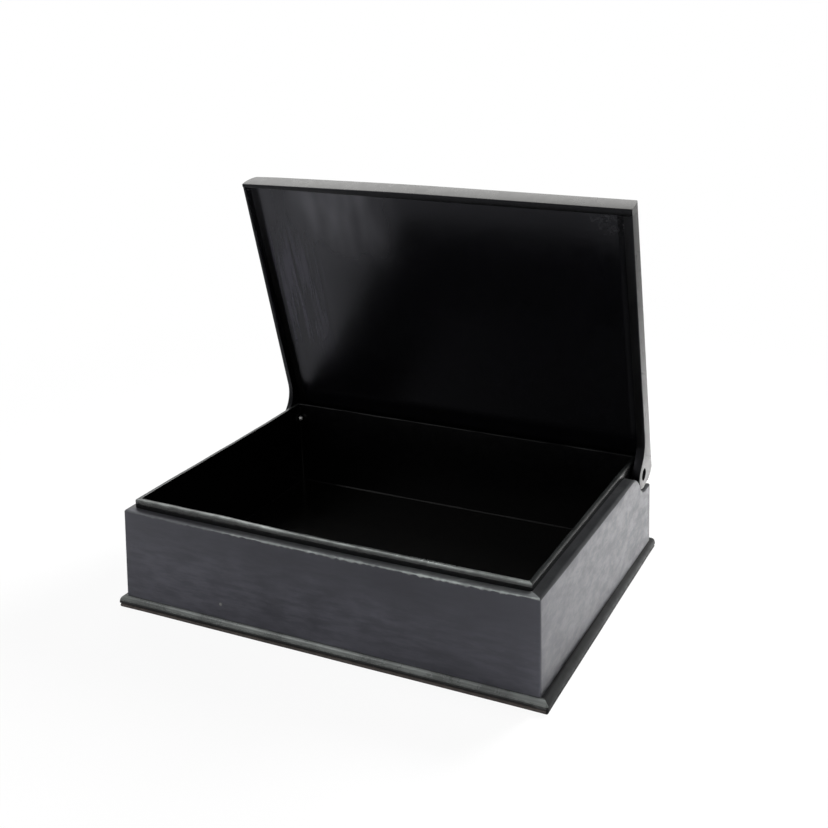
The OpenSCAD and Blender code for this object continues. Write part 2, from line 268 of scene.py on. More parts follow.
def corner_at(sx, sy, deg):
    """The walls' outline on a corner, as a function of how far in and how high."""
    def at(inset, z):
        r = max(WALL_CORNER_R - inset, 0.0)
        d = unit(deg)
        x = side_x(sx, z) - sx * (inset + r) + r * d.x
        return Vector((x, end_y(sy, z) - sy * (inset + r) + r * d.y))
    return at


def end_at(sy, x):
    """The same on the front or back wall at a place along it."""
    return lambda inset, z: Vector((x, end_y(sy, z) - sy * inset))


def side_at(sx, y):
    """The same on a side wall."""
    return lambda inset, z: Vector((side_x(sx, z) - sx * inset, y))


OUTER_FACE_ROWS = (0.0, 0.06, 0.2, 0.35, 0.5, 0.65, 0.8, 0.92)
WALL_SWELL = 0.12
WALL_SWELL_SIZE = 34.0


def wall_ring(at, inner, top, up=(0.0, 1.0), seed=None, edge=WALL_EDGE_R):
    """One closed section of a wall: outer face, rounded edge, shoulder and inner face."""
    slope, rise = up
    ring = []

    def add(inset, z, back=0.0):
        p = at(inset, z)
        ring.append((p.x, p.y - back, z))

    edge_z = top - edge * rise
    for share in OUTER_FACE_ROWS:
        z = FOOT_Z + share * (edge_z - FOOT_Z)
        p = at(0.0, z)
        swell = 0.0
        if seed is not None:
            swell = uneven((p.x, p.y, z), seed, WALL_SWELL_SIZE, WALL_SWELL) * math.sin(math.pi * share)
        add(-swell, z, slope * edge * share)
    for a in arc_angles(0.0, 90.0, ROUND_STEPS):
        c = 1.0 - math.cos(math.radians(a))
        s = 1.0 - math.sin(math.radians(a))
        add(edge * c, top - edge * s * rise, slope * edge * s)
    ring.append((inner.x, inner.y, top))
    ring.append((inner.x, inner.y, BASE_T))
    return ring


FACE_WORN = [0.0] * len(OUTER_FACE_ROWS)
FRONT_WORN = FACE_WORN + [0.1, 0.6, 1.0, 1.0, 0.7, 0.4] + [0.24, 0.0, 0.0]
SIDE_WORN = FACE_WORN + [0.0, 0.02, 0.03, 0.03, 0.02, 0.02] + [0.02, 0.0, 0.0]

# How the worn line on the front wall fades to the left, and how unevenly its edge was filed
FADE_LEFT = 0.16
FADE_X = (-42.0, -12.0)
FILED_MID = 0.45
FILED_VARIES = 0.55
FILED_LEAST = 0.15
FILED_MOST = 0.85
FILED_AT = 9.0
FILED_WIDE = 9.0
FILED_MORE = 0.15
FILED_SEED = 41.0
FILED_SIZE = 1.1

# Sag of the front shoulder, and places along the walls
FRONT_SAG = 0.33
FRONT_SAG_MORE = 0.2
FRONT_SAG_AT = 2.0
FRONT_SAG_WIDE = 34.0
FRONT_SAG_ENDS = 8
FRONT_SEED = 3.0
FRONT_STEPS = 224
BACK_STEPS = 28
CORNER_LAND = 4.0
SIDE_SEED = 5.0
SIDE_FROM = -40.0
SIDE_PITCH = 4.0
SIDE_COUNT = 17
SIDE_EDGE_FRONT = (-42.0, -30.0)
SIDE_EDGE_BACK = (-26.0, -18.0)
SHOULDER_TILT = 0.2


def front_dip(x):
    """Slight sag of the front shoulder between its corners, which was filed by eye."""
    sag = FRONT_SAG + bump_at(x, FRONT_SAG_AT, FRONT_SAG_WIDE, FRONT_SAG_MORE)
    return -sag * (1.0 - (abs(x) * 2.0 / BODY_W) ** FRONT_SAG_ENDS)


def front_filed(x):
    """Radius of the front wall's top edge, broken unevenly with a file and worn most near its middle."""
    radius = FILED_MID + bump_at(x, FILED_AT, FILED_WIDE, FILED_MORE)
    radius += uneven((x, 0.0, 0.0), FILED_SEED, FILED_SIZE, FILED_VARIES)
    return min(max(radius, FILED_LEAST), FILED_MOST)


def end_wall(name, sy, top, worn):
    """The front wall, sy = -1, or the back wall, sy = 1, between its mitres."""
    straight = 270.0 if sy < 0 else 90.0
    first = -1 if sy < 0 else 1
    inner_y = LINER_FRONT if sy < 0 else LINER_BACK
    rings = []
    fade = []
    for a in arc_angles(straight - 45.0, straight, ARC_STEPS):
        rings.append(wall_ring(corner_at(first, sy, a), liner_corner(first, sy, a)[0], top))
        fade.append(FADE_LEFT if sy < 0 else 1.0)
    span = BODY_W / 2 - CORNER_LAND
    steps = FRONT_STEPS if sy < 0 else BACK_STEPS
    for i in range(steps + 1):
        x = first * span * (1.0 - 2.0 * i / steps)
        dip = front_dip(x) if sy < 0 else 0.0
        edge = front_filed(x) if sy < 0 else WALL_EDGE_R
        rings.append(wall_ring(end_at(sy, x), Vector((x, inner_y)), top + dip, seed=FRONT_SEED, edge=edge))
        fade.append(FADE_LEFT + (1.0 - FADE_LEFT) * smooth(x, *FADE_X) if sy < 0 else 1.0)
    for a in arc_angles(straight, straight + 45.0, ARC_STEPS):
        rings.append(wall_ring(corner_at(-first, sy, a), liner_corner(-first, sy, a)[0], top))
        fade.append(1.0)
    return skin(name, rings, worn, fade)


def side_wall(name, sx):
    """The left wall, sx = -1, or the right wall, sx = 1, with its notch."""
    straight = 0.0 if sx > 0 else 180.0
    rings = []
    for a in arc_angles(straight - sx * 45.0, straight, ARC_STEPS):
        rings.append(wall_ring(corner_at(sx, -1, a), liner_corner(sx, -1, a)[0], SHOULDER_Z))
    plain = [SIDE_FROM + SIDE_PITCH * i for i in range(SIDE_COUNT)]
    fillet = NOTCH_FILLET_RIGHT if sx > 0 else NOTCH_FILLET
    for y in plain + notch_stations(fillet):
        top, up = wall_top(y, fillet)
        edge = WALL_EDGE_R
        if sx > 0:
            share = smooth(y, *SIDE_EDGE_FRONT) * smooth(-y, *SIDE_EDGE_BACK)
            edge += (SIDE_EDGE_R - WALL_EDGE_R) * share
        rings.append(wall_ring(side_at(sx, y), Vector((liner_x(sx, y), y)), top, up, SIDE_SEED, edge))
    for a in arc_angles(straight, straight + sx * 45.0, ARC_STEPS):
        rings.append(wall_ring(corner_at(sx, 1, a), liner_corner(sx, 1, a)[0], NOTCH_Z))
    wall = skin(name, rings, SIDE_WORN)
    # Faces that look up take the second finish; the right wall's is a darker copy, painted shade on its
    # shoulder.
    for face in wall.data.polygons:
        face.material_index = 1 if face.normal.z > SHOULDER_TILT else 0
    return wall


# Liner, whose top edge is the raised rim
RIM_LIFT = 0.42
RIM_LIFT_X = (10.0, 34.0)
RIM_LIFT_Y = (-22.0, 38.0)
RIM_WAVE = 0.08
RIM_WAVE_SIZE = 12.0
RIM_SEED = 11.0
RIM_FOOT = 0.6
RIM_IN_SEED = 31.0
RIM_IN_SIZE = 9.0
RIM_IN_STEPS = 3
RIM_FADE_LEFT = 0.6
RIM_FADE_X = (-48.0, -4.0)
LINER_WORN = [0.0, 0.0, 0.1, 0.25, 0.5, 0.75, 0.85, 0.9, 0.9] + [0.9] + [0.6] * 3 + [0.0, 0.0]


def rim_height(x, y):
    """The rim's top, lifted a little near the front left corner."""
    lift = RIM_LIFT * smooth(-x, *RIM_LIFT_X) * smooth(-y, *RIM_LIFT_Y)
    return RIM_Z + lift + uneven((x, y, 0.0), RIM_SEED, RIM_WAVE_SIZE, RIM_WAVE)


def filed_edge(p):
    """Radius of the rim's inner edge, which was broken by hand with a file."""
    radius = RIM_IN_MID + uneven((p.x, p.y, 0.0), RIM_IN_SEED, RIM_IN_SIZE, RIM_IN_VARIES)
    return min(max(radius, RIM_IN_LEAST), RIM_IN_R)


def liner_ring(outer, inner, top):
    """One closed section of the liner with its rounded top."""
    span = inner - outer
    length = span.length
    edge = filed_edge(inner)
    ring = []

    def add(d, z):
        p = outer + span * (d / length)
        ring.append((p.x, p.y, z))

    add(0.0, BASE_T)
    add(0.0, SHOULDER_Z - RIM_FOOT)
    add(0.0, top - RIM_WORN_DEPTH)
    for a in arc_angles(0.0, 90.0, ROUND_STEPS):
        c = 1.0 - math.cos(math.radians(a))
        s = 1.0 - math.sin(math.radians(a))
        add(RIM_OUT_R * c, top - RIM_OUT_R * s)
    for a in arc_angles(0.0, 90.0, RIM_IN_STEPS):
        c = math.sin(math.radians(a))
        s = 1.0 - math.cos(math.radians(a))
        add(length - edge + edge * c, top - edge * s)
    add(length, BASE_T)
    return ring


def liner_strip(name, straight, start, end, count, wear):
    """One strip of the liner between the middles of two corners, start and end as (sx, sy)."""
    pairs = [liner_corner(*start, a) for a in arc_angles(straight - 45.0, straight, ARC_STEPS)]
    a0, b0 = pairs[-1]
    a1, b1 = liner_corner(*end, straight)
    pairs += [(a0.lerp(a1, i / count), b0.lerp(b1, i / count)) for i in range(1, count)]
    pairs += [liner_corner(*end, a) for a in arc_angles(straight, straight + 45.0, ARC_STEPS)]
    rings = [liner_ring(outer, inner, rim_height(outer.x, outer.y)) for outer, inner in pairs]
    fade = [RIM_FADE_LEFT + (1.0 - RIM_FADE_LEFT) * smooth(outer.x, *RIM_FADE_X) for outer, inner in pairs]
    return skin(name, rings, [wear * w for w in LINER_WORN], fade)


# Solder inside the box
BEAD = 0.42
BEAD_VARIES = 0.25
BEAD_WAVE_SIZE = 5.0
BEAD_SEED = 23.0
BEAD_SINK = 0.08
BEAD_HOLLOW_OUT = 0.3
BEAD_HOLLOW_UP = 0.42
BEAD_STEPS = 30


def bead_ring(bm, foot, inward):
    """One section of the bead: its back sunk into liner and floor, its face hollow."""
    size = BEAD + uneven((foot.x, foot.y, 0.0), BEAD_SEED, BEAD_WAVE_SIZE, BEAD_VARIES)
    section = [(-BEAD_SINK, -BEAD_SINK), (-BEAD_SINK, size)]
    section += [(BEAD_HOLLOW_OUT * size, BEAD_HOLLOW_UP * size), (size, -BEAD_SINK)]
    ring = []
    for across, up in section:
        p = foot + inward * across
        ring.append(bm.verts.new((p.x, p.y, BASE_T + up)))
    return ring


def floor_bead():
    """A thin uneven bead of solder where the liner stands on the floor."""
    low_y = LINER_FRONT + LINER_T
    high_y = LINER_BACK - LINER_T
    right = LINER_RIGHT - LINER_T
    corners = [(liner_x(-1, low_y) + LINER_T, low_y, 1, 1), (right, low_y, -1, 1)]
    corners += [(right, high_y, -1, -1), (liner_x(-1, high_y) + LINER_T, high_y, 1, -1)]
    bm = bmesh.new()
    bm.faces.layers.float.new("worn")
    rings = []
    for i, (x, y, in_x, in_y) in enumerate(corners):
        next_x, next_y, next_in_x, next_in_y = corners[(i + 1) % len(corners)]
        for k in range(BEAD_STEPS):
            foot = Vector((x, y)).lerp(Vector((next_x, next_y)), k / BEAD_STEPS)
            inward = Vector((in_x, in_y))
            if k > 0:
                inward = Vector(((in_x + next_in_x) / 2, (in_y + next_in_y) / 2))
            rings.append(bead_ring(bm, foot, inward))
    for i, a in enumerate(rings):
        b = rings[(i + 1) % len(rings)]
        for k in range(len(a)):
            n = (k + 1) % len(a)
            bm.faces.new((a[k], b[k], b[n], a[n]))
    return new_object("floor_bead", bm)


# Base plate: rings at each height of its nose, with mitred corners
NOSE_STEPS = 9
NOSE_LAND = 1.4
NOSE_WORN = 0.38
NOSE_WORN_LOW = (15.0, 40.0)
NOSE_WORN_HIGH = (-88.0, -70.0)
NOSE_WORN_SIDES = 0.06
GROOVE_IN = 0.75
GROOVE_ABOVE = 0.3
GROOVE_BELOW = 0.25
LIP_Z = 1.05
LIP_IN = 0.12
LIP_MARGIN = 0.1
PLINTH_STEPS = 16
PLINTH_LEAST_R = 0.05
PLINTH_WAVE = 0.06
PLINTH_WAVE_SIZE = 21.0
PLINTH_SEED = 17.0
RIGHT_FROM = BODY_W / 2 - 1.0

# Finishes of the base plate by place in its list
FLOOR_FINISH = 1
LIP_FINISH = 2
# The right side's finish is a darker, duller copy of the base's patina: painted shade.
RIGHT_FINISH = 3


def nose_levels():
    """Set-in, height and wear of each ring from the floor inside round the nose to the underside."""
    levels = [(NOSE_TOP_OUT + NOSE_LAND, z, 0.0) for z in (BASE_T, PLINTH_T)]
    for a in arc_angles(90.0, 0.0, NOSE_STEPS):
        c = 1.0 - math.cos(math.radians(a))
        worn = NOSE_WORN * smooth(a, *NOSE_WORN_LOW) * smooth(-a, *NOSE_WORN_HIGH)
        levels.append((NOSE_TOP_OUT * c, NOSE_Z + (PLINTH_T - NOSE_Z) * math.sin(math.radians(a)), worn))
    levels.append((GROOVE_IN, NOSE_Z - GROOVE_ABOVE, 0.0))
    levels.append((GROOVE_IN, LIP_Z + GROOVE_BELOW, 0.0))
    for a in arc_angles(90.0, -90.0, NOSE_STEPS):
        c = 1.0 - math.cos(math.radians(a))
        levels.append((LIP_IN + LIP_Z / 2 * c, LIP_Z / 2 + LIP_Z / 2 * math.sin(math.radians(a)), 0.0))
    return levels


def plinth_corner(sx, sy):
    """Sharp corner of the base plate's outline."""
    right = PLINTH_RIGHT_BACK if sy > 0 else PLINTH_RIGHT_FRONT
    return Vector((right if sx > 0 else -PLINTH_LEFT, PLINTH_BACK if sy > 0 else -PLINTH_FRONT))


def plinth_ring(inset, z):
    """Closed outline of the base plate, set in, at a height."""
    loop = []
    corners = ((1, 1, 0.0), (-1, 1, 90.0), (-1, -1, 180.0), (1, -1, 270.0))
    for i, (sx, sy, start) in enumerate(corners):
        r = max(PLINTH_CORNER - inset, PLINTH_LEAST_R)

        def corner_point(sx, sy, deg):
            p = plinth_corner(sx, sy) - Vector((sx, sy)) * (inset + r)
            return p + unit(deg) * r

        for a in arc_angles(start, start + 90.0, ARC_STEPS):
            loop.append(corner_point(sx, sy, a))
        after = corners[(i + 1) % len(corners)]
        a = loop[-1]
        b = corner_point(after[0], after[1], after[2])
        normal = unit(start + 90.0)
        for k in range(1, PLINTH_STEPS):
            p = a.lerp(b, k / PLINTH_STEPS)
            wave = uneven((p.x, p.y, z), PLINTH_SEED, PLINTH_WAVE_SIZE, PLINTH_WAVE)
            loop.append(p - normal * (PLINTH_WAVE + wave))
    return [(p.x, p.y, z) for p in loop]


def base_piece():
    """The base plate: floor, nose and underside."""
    bm = bmesh.new()
    layer = bm.faces.layers.float.new("worn")
    levels = nose_levels()
    rings = [[bm.verts.new(p) for p in plinth_ring(inset, z)] for inset, z, _ in levels]
    size = len(rings[0])
    for k in range(len(rings) - 1):
        for i in range(size):
            n = (i + 1) % size
            face = bm.faces.new((rings[k][i], rings[k][n], rings[k + 1][n], rings[k + 1][i]))
            in_front = max(rings[k][i].co.y, rings[k][n].co.y) < -BODY_D / 2
            face[layer] = levels[k][2] * (1.0 if in_front else NOSE_WORN_SIDES)
            # Painted shade: the plinth's right side takes the darker copy.
            if min(rings[k][i].co.x, rings[k][n].co.x) > RIGHT_FROM:
                face.material_index = RIGHT_FINISH
            elif levels[k][1] < LIP_Z + LIP_MARGIN:
                face.material_index = LIP_FINISH
    floor = bm.faces.new(rings[0])
    floor.material_index = FLOOR_FINISH
    bm.faces.new(list(reversed(rings[-1])))
    return new_object("box_base_plate", bm)


# Pieces of the lid keep the CAD shape, with eased edges and a fuller rounding at the left
LID_ROUND_SHOWN = 5.0
LID_SAG = 0.9
LID_SAG_FROM = -3.0
LID_SAG_POWER = 1.2
LID_LEAN = 0.9
LID_LEAN_BACK = 30.0
FRONT_REACH = 0.9
ON_ROUND = 0.03
ON_SIDE = 0.02
TOUCH = 0.01
RIM_TOUCH = 0.05
RIM_MARGIN = 0.3
BORE_REACH = 2.4

# How edges are found and eased, and where the inside begins
LID_CUTS = (-50.0, -40.0, -30.0, -20.0, -10.0, 0.0)
FLAT_DEG = 0.4
EDGE_DEG = 40.0
EDGE_STEPS = 4
CHEEK_FROM = 50.0
FRONT_UNTIL = -35.0
BACK_FROM = 35.0

# Finishes of the lid by place in their list
OUTER_FINISH = 0
INNER_FINISH = 1
# The rim finish is a darker copy of the patina: painted shade on the rim, the lugs' edges and the inner
# fillet's left end.
RIM_FINISH = 2


def to_closed():
    """Turns a point of the open lid back to the closed lid, in millimetres."""
    pivot = Vector((0.0, HINGE_Y, HINGE_Z))
    turn = Matrix.Rotation(math.radians(OPEN_ANGLE), 4, "X")
    return Matrix.Translation(pivot) @ turn @ Matrix.Translation(-pivot)


def reshaped(p):
    """Fuller rounding along the closed lid's left edge, which leans in and is worn back towards the front."""
    u = p.x + LID_X
    v = LID_TOP_Z - p.z
    on_round = abs(math.hypot(u - LID_ROUND_LEFT, v - LID_ROUND_LEFT) - LID_ROUND_LEFT) < ON_ROUND
    on_round = on_round and max(u, v) < LID_ROUND_LEFT + TOUCH
    q = p.copy()
    if p.y > LID_ROLL_Y + TOUCH:
        down = LID_ROUND_SHOWN - v
        if down > 0.0 and math.hypot(LID_ROUND_SHOWN - u, down) > LID_ROUND_SHOWN and u < LID_ROUND_SHOWN:
            q.x = LID_ROUND_SHOWN - math.sqrt(LID_ROUND_SHOWN ** 2 - down ** 2) - LID_X
        return q
    if on_round:
        grow = LID_ROUND_SHOWN / LID_ROUND_LEFT
        q.x = grow * u - LID_X
        q.z = LID_TOP_Z - grow * v
    if on_round or u < ON_SIDE:
        share = min(max((LID_LEAN_BACK - p.y) / (LID_LEAN_BACK - LID_FRONT_Y), 0.0), 1.0)
        q.x += LID_LEAN * share * (1.0 - (q.x + LID_X) / LID_ROUND_SHOWN)
    if p.y < LID_FRONT_Y + FRONT_REACH:
        share = max((LID_SAG_FROM - p.x) / (LID_X + LID_SAG_FROM), 0.0)
        q.y = p.y + LID_SAG * share ** LID_SAG_POWER
    return q


def looks_in(normal, centre):
    """Whether a face of the closed lid looks into it or down."""
    sideways = normal.x * centre.x < -0.3 * abs(centre.x) and abs(centre.x) > CHEEK_FROM
    from_front = normal.y > 0.5 and centre.y < FRONT_UNTIL
    from_back = normal.y < -0.3 and centre.y > BACK_FROM and normal.z < 0.2
    return normal.z < -0.5 or sideways or from_front or from_back


def eased(name, node, edges=()):
    """Copy a CAD node of the lid; edges holds (pick, radius, wear) for what to ease on the closed lid."""
    bm = bmesh.new()
    bm.from_mesh(nodes[node].data)
    bm.transform(Matrix.Scale(1.0 / MM, 4))
    bm.transform(to_closed())
    bmesh.ops.remove_doubles(bm, verts=bm.verts, dist=FINE_MERGE)
    bmesh.ops.dissolve_limit(bm, angle_limit=math.radians(FLAT_DEG), verts=bm.verts, edges=bm.edges)
    for x in LID_CUTS:
        parts = list(bm.verts) + list(bm.edges) + list(bm.faces)
        bmesh.ops.bisect_plane(bm, geom=parts, dist=FINE_MERGE, plane_co=(x, 0.0, 0.0),
                               plane_no=(1.0, 0.0, 0.0))
    for vert in bm.verts:
        vert.co = reshaped(vert.co)
    bm.normal_update()
    layer = bm.faces.layers.float.new("worn")
    for pick, radius, wear in edges:
        chosen = []
        for edge in bm.edges:
            if len(edge.link_faces) != 2 or edge.calc_face_angle(0.0) < math.radians(EDGE_DEG):
                continue
            if pick([v.co for v in edge.verts], [f.normal for f in edge.link_faces]):
                chosen.append(edge)
        made = bmesh.ops.bevel(bm, geom=chosen, offset=radius, offset_type="OFFSET", segments=EDGE_STEPS,
                               profile=0.5, affect="EDGES", clamp_overlap=True)
        for face in made["faces"]:
            face[layer] = wear
    for face in bm.faces:
        centre = face.calc_center_median()
        face.material_index = INNER_FINISH if looks_in(face.normal, centre) else OUTER_FINISH
        # Painted shade: the downward rim and the lugs' edges take the darker rim finish.
        on_edge = face.normal.z < -0.6 and centre.z < LID_RIM_Z + RIM_MARGIN
        on_lug = abs(face.normal.x) < 0.8 and centre.z < LID_RIM_Z - RIM_MARGIN
        if on_edge or on_lug:
            face.material_index = RIM_FINISH
    bm.transform(to_closed().inverted())
    return new_object(name, bm)


def on_rim(ends, normals):
    """An edge between the lid's downward rim and one of its sides."""
    down = any(n.z < -0.3 for n in normals)
    side = any(abs(n.x) > 0.9 or abs(n.y) > 0.9 for n in normals)
    return down and side and all(p.z < LID_RIM_Z + RIM_TOUCH for p in ends)


def cheek_edge(ends, normals, outward):
    """An edge between a cheek's flat side, outer or inner, and its rim or lug."""
    flat = [n.x * p.x * outward > 0.9 * abs(p.x) for n, p in zip(normals, ends)]
    low = all(p.z < LID_RIM_Z + RIM_TOUCH for p in ends)
    bore = all(math.hypot(p.y - HINGE_Y, p.z - HINGE_Z) < BORE_REACH for p in ends)
    return any(flat) and not all(flat) and low and not bore


def cheek_outer(ends, normals):
    """The edge round a cheek's outer side."""
    return cheek_edge(ends, normals, 1.0)


def cheek_inner(ends, normals):
    """The edge round a cheek's inner side."""
    return cheek_edge(ends, normals, -1.0)


def front_edge(ends, normals):
    """The two long lower edges of the lid's front wall."""
    return on_rim(ends, normals) and abs(ends[0].x - ends[1].x) > 1.0


# Fillet inside the lid: wide and soft at the left, narrower elsewhere
FILLET_LEFT = 6.5
FILLET_FRONT = 2.6
FILLET_RIGHT = 4.0
FILLET_DEEP = 2.0
FILLET_STEPS = 10
FILLET_SINK = 0.05


def lid_fillet():
    """A concave fillet between the lid's plate and its left, front and right walls."""
    left = LINER_LEFT - LID_CLEAR
    right = LINER_RIGHT + LID_CLEAR
    front = LINER_FRONT - LID_CLEAR
    path = [(left, LID_ROLL_Y, 1.0, 0.0)]
    path += [(left, front, 1.0, 1.0), (right, front, -1.0, 1.0)]
    path += [(right, LID_ROLL_Y, -1.0, 0.0)]
    opened = to_closed().inverted()
    rings = []
    for x, y, dx, dy in path:
        wide = FILLET_LEFT if dx > 0 else FILLET_RIGHT
        ring = []

        def add(across, deep):
            out_x = dx * (wide * across - FILLET_SINK)
            out_y = dy * (FILLET_FRONT * across - FILLET_SINK)
            p = opened @ Vector((x + out_x, y + out_y, LID_UNDER_Z + FILLET_SINK - FILLET_DEEP * deep))
            ring.append(tuple(p))

        add(0.0, 0.0)
        for a in arc_angles(0.0, 90.0, FILLET_STEPS):
            add(1.0 - math.cos(math.radians(a)), 1.0 - math.sin(math.radians(a)))
        rings.append(ring)
    fillet = skin("lid_inner_fillet", rings, [0.0] * len(rings[0]))
    # Painted shade: the fillet's left end takes the darker rim finish.
    for face in fillet.data.polygons:
        face.material_index = 1 if face.center.x < -CHEEK_FROM * MM else 0
    return fillet


# Riveted pins: domed inside the box, dished on the outside
PIN_R = 1.75
PIN_HEAD = 0.9
PIN_SIDES = 28
NUB_R = 0.85
NUB_STEP = 0.1
NUB_STEPS = 4
NUB_FROM_DEG = 80.0

# Depth and radius of each ring of the dished end, from its middle out
DISH = ((0.45, 0.0), (0.4, 0.8), (0.22, 1.35), (0.02, 1.62), (0.08, PIN_R))


def pin_piece(name, node, sx):
    """A hinge pin turned from its profile; its dished outer end is the second finish, black as painted shade.
    """
    low, high = (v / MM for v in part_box(node))
    out_x = max(abs(low.x), abs(high.x))
    in_x = min(abs(low.x), abs(high.x)) - PIN_HEAD
    profile = [(out_x - depth, r) for depth, r in DISH]
    profile += [(in_x + PIN_HEAD, PIN_R), (in_x + PIN_HEAD - NUB_STEP, NUB_R + NUB_STEP)]
    dark_rings = len(profile) - 1
    for a in arc_angles(NUB_FROM_DEG, 0.0, NUB_STEPS):
        profile.append((in_x + PIN_HEAD * (1.0 - unit(a).x), NUB_R * unit(a).y))
    bm = bmesh.new()
    bm.faces.layers.float.new("worn")
    rings = []
    for x, r in profile:
        if r < TOUCH:
            rings.append([bm.verts.new((sx * x, HINGE_Y, HINGE_Z))] * PIN_SIDES)
            continue
        ring = []
        for i in range(PIN_SIDES):
            d = unit(360.0 * i / PIN_SIDES)
            ring.append(bm.verts.new((sx * x, HINGE_Y + r * d.x, HINGE_Z + r * d.y)))
        rings.append(ring)
    for k in range(len(rings) - 1):
        for i in range(PIN_SIDES):
            n = (i + 1) % PIN_SIDES
            corners = []
            for vert in (rings[k][i], rings[k][n], rings[k + 1][n], rings[k + 1][i]):
                if vert not in corners:
                    corners.append(vert)
            face = bm.faces.new(corners)
            face.material_index = 0 if k >= dark_rings else 1
    return new_object(name, bm)


# Shader helpers
class Nodes:
    """Short hand for building one material's node tree."""

    def __init__(self, name):
        self.mat = bpy.data.materials.new(name)
        self.mat.use_nodes = True
        self.tree = self.mat.node_tree
        self.shader = self.tree.nodes["Principled BSDF"]
        self.coords = self.tree.nodes.new("ShaderNodeTexCoord").outputs["Object"]

    def add(self, kind, **props):
        node = self.tree.nodes.new(kind)
        for key, value in props.items():
            setattr(node, key, value)
        return node

    def link(self, out, socket):
        self.tree.links.new(out, socket)

    def feed(self, socket, value):
        if isinstance(value, bpy.types.NodeSocket):
            self.link(value, socket)
        else:
            socket.default_value = value

    def shade(self, socket, value):
        """Set or link one of the shader's own sockets."""
        self.feed(self.shader.inputs[socket], value)

    def mapped(self, scale, turn=(0.0, 0.0, 0.0)):
        """Object coordinates, first turned and then scaled per axis."""
        turned = self.add("ShaderNodeMapping", vector_type="TEXTURE")
        turned.inputs["Rotation"].default_value = turn
        self.link(self.coords, turned.inputs["Vector"])
        scaled = self.add("ShaderNodeMapping")
        scaled.inputs["Scale"].default_value = scale
        self.link(turned.outputs[0], scaled.inputs["Vector"])
        return scaled.outputs[0]

    def noise(self, vector, scale, detail=3.0, rough=0.5):
        node = self.add("ShaderNodeTexNoise")
        node.inputs["Scale"].default_value = scale
        node.inputs["Detail"].default_value = detail
        node.inputs["Roughness"].default_value = rough
        self.link(vector, node.inputs["Vector"])
        return node.outputs["Fac"]

    def voronoi(self, vector, scale):
        node = self.add("ShaderNodeTexVoronoi")
        node.inputs["Scale"].default_value = scale
        self.link(vector, node.inputs["Vector"])
        return node.outputs["Distance"]

    def axes(self, vector):
        """The three parts of a vector."""
        split = self.add("ShaderNodeSeparateXYZ")
        self.link(vector, split.inputs[0])
        return split.outputs

    def upward(self):
        """How far a face looks up."""
        return self.axes(self.add("ShaderNodeNewGeometry").outputs["Normal"])["Z"]

    def ramp(self, value, low, high, to_low=0.0, to_high=1.0):
        node = self.add("ShaderNodeMapRange", interpolation_type="SMOOTHSTEP")
        node.inputs["From Min"].default_value = low
        node.inputs["From Max"].default_value = high
        node.inputs["To Min"].default_value = to_low
        node.inputs["To Max"].default_value = to_high
        self.link(value, node.inputs["Value"])
        return node.outputs["Result"]

    def math(self, operation, a, b):
        node = self.add("ShaderNodeMath", operation=operation)
        self.feed(node.inputs[0], a)
        self.feed(node.inputs[1], b)
        return node.outputs[0]

    def times(self, a, b):
        return self.math("MULTIPLY", a, b)

    def mix(self, factor, a, b):
        node = self.add("ShaderNodeMix", data_type="RGBA")
        self.feed(node.inputs["Factor"], factor)
        self.feed(node.inputs["A"], a)
        self.feed(node.inputs["B"], b)
        return node.outputs["Result"]

    def attribute(self, name):
        node = self.add("ShaderNodeAttribute", attribute_name=name)
        return node.outputs["Fac"]

    def bump(self, height, strength, distance, normal=None):
        node = self.add("ShaderNodeBump")
        node.inputs["Strength"].default_value = strength
        node.inputs["Distance"].default_value = distance
        self.link(height, node.inputs["Height"])
        if normal is not None:
            self.link(normal, node.inputs["Normal"])
        return node.outputs["Normal"]


def rgb(r, g, b):
    return (r, g, b, 1.0)


# Scales are features per metre
EVEN = (1.0, 1.0, 1.0)
UPRIGHT = (0.0, 0.0, 0.0)
LID_TURN = (math.radians(-OPEN_ANGLE), 0.0, 0.0)
CLOUD_SCALE = 48.0
MARK_SCALE = 900.0
GRAIN_SCALE = 1600.0
NICK_SCALE = 420.0
RUB_SCALE = 90.0
SPECK_SCALE = 95.0
BARE = (0.42, 0.45, 0.435)
COOL = rgb(0.88, 0.89, 1.0)
PLAIN = rgb(1.0, 1.0, 1.0)
WARM = rgb(1.0, 0.98, 0.94)

# Range in which most of a noise texture's values lie
MID = (0.3, 0.7)


